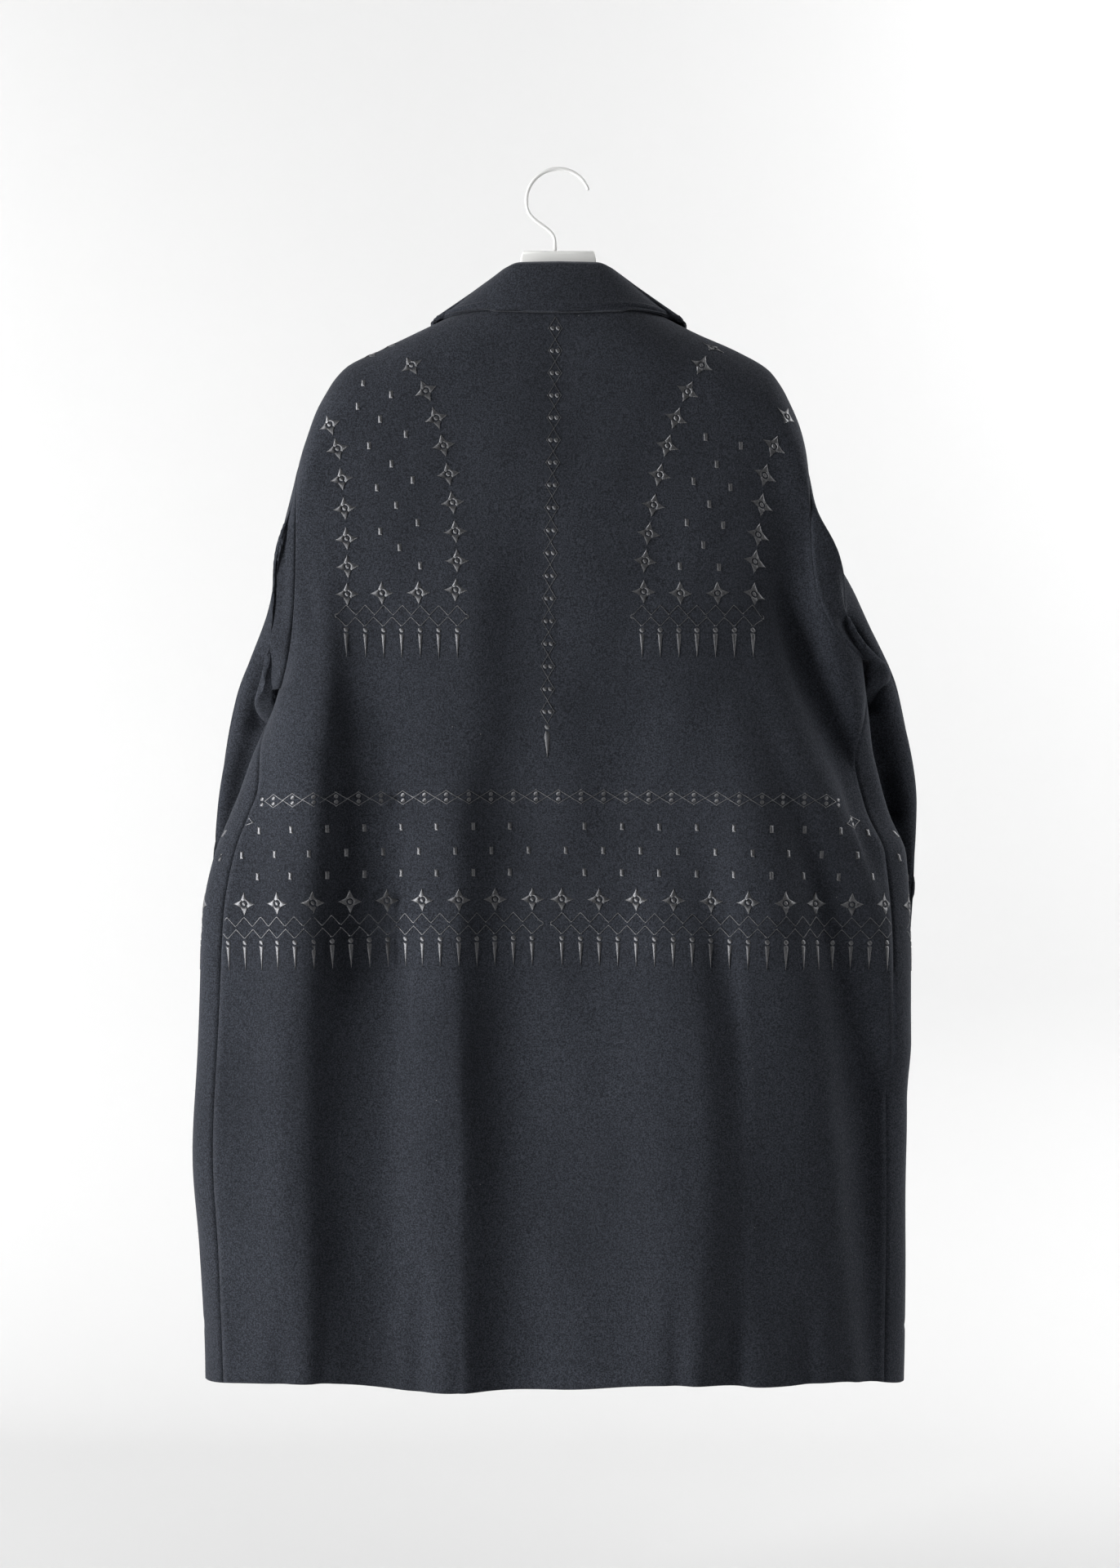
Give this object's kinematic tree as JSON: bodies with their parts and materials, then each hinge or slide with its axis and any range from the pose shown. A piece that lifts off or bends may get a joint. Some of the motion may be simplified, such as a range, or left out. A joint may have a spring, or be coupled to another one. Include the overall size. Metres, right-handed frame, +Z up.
{
  "type": "embroidered coat on a hanger",
  "caption": "Full, rounded black wool coat with dropped shoulders, long sleeves and a turned collar, hung from a white contoured hanger with a wire hook.",
  "frame": {"origin": "inside top of the hanger's hook, where a rail touches it", "axes": "+Z up, the coat's front faces -Y and its back +Y, the wearer's left is +X"},
  "size_m": [0.6389, 0.179, 1.0686],
  "materials": {
    "black_wool": "matte",
    "dark_button": "satin",
    "white_plastic": "satin",
    "white_lacquered_wire": "gloss"
  },
  "bodies": {
    "root": {"back": "black_wool", "front_left": "black_wool", "front_right": "black_wool", "sleeve_left": "black_wool", "sleeve_right": "black_wool", "collar": "black_wool", "button_1": "dark_button", "button_2": "dark_button", "button_3": "dark_button", "button_4": "dark_button", "hanger_body": "white_plastic", "hanger_hook": "white_lacquered_wire"}
  },
  "joints": []
}
